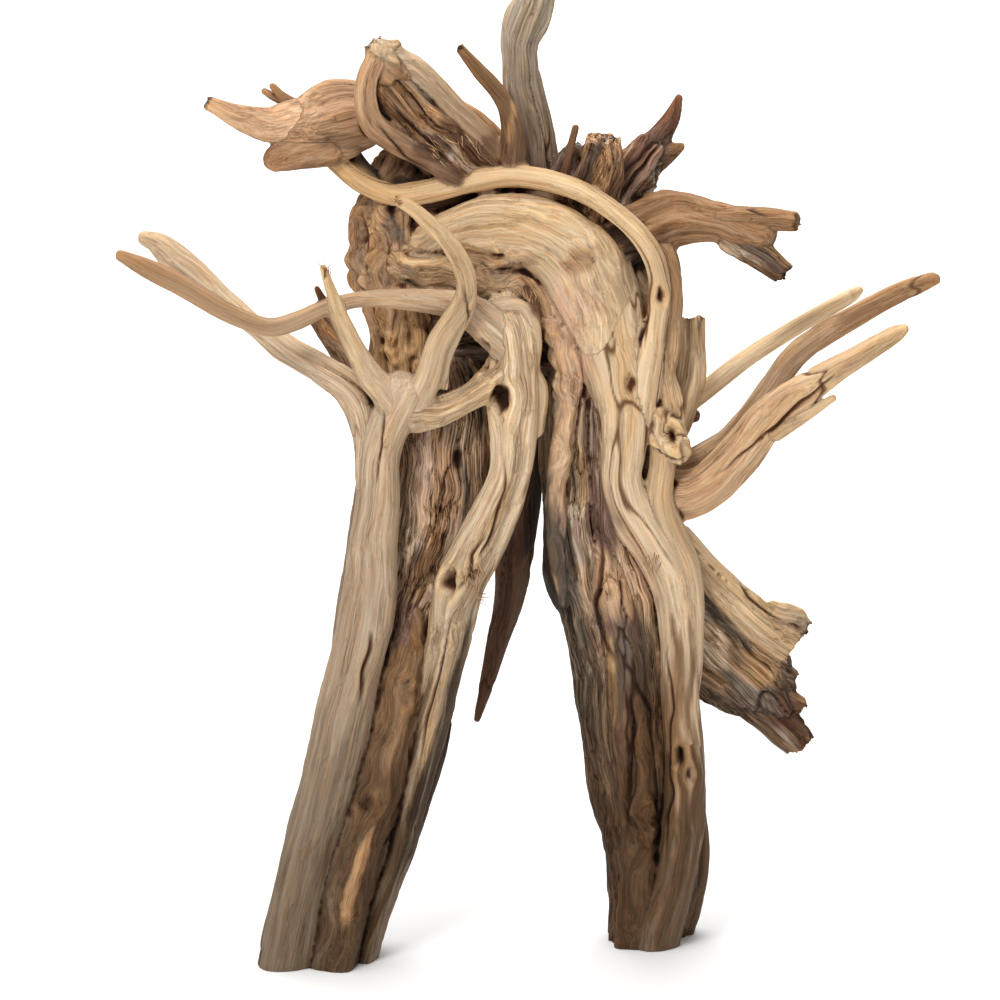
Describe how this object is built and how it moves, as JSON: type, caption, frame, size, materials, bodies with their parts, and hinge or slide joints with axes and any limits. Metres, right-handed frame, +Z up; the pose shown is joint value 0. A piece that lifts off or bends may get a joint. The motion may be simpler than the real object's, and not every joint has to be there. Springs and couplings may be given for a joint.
{
  "type": "driftwood branch",
  "caption": "Weathered root driftwood in one piece: an arch on two flat-soled legs with a smooth strap root, broken stubs and long thin side branches.",
  "frame": {"origin": "on the ground, under the middle of the wood's own box", "axes": "+Z up from the two soles, +X to the viewer's right across the arch, +Y from the front of the arch to its back"},
  "size_m": [0.4903, 0.1629, 0.5909],
  "materials": {
    "weathered_wood": "dry, weathered, matt"
  },
  "bodies": {
    "root": {"driftwood": "weathered_wood"}
  },
  "joints": []
}
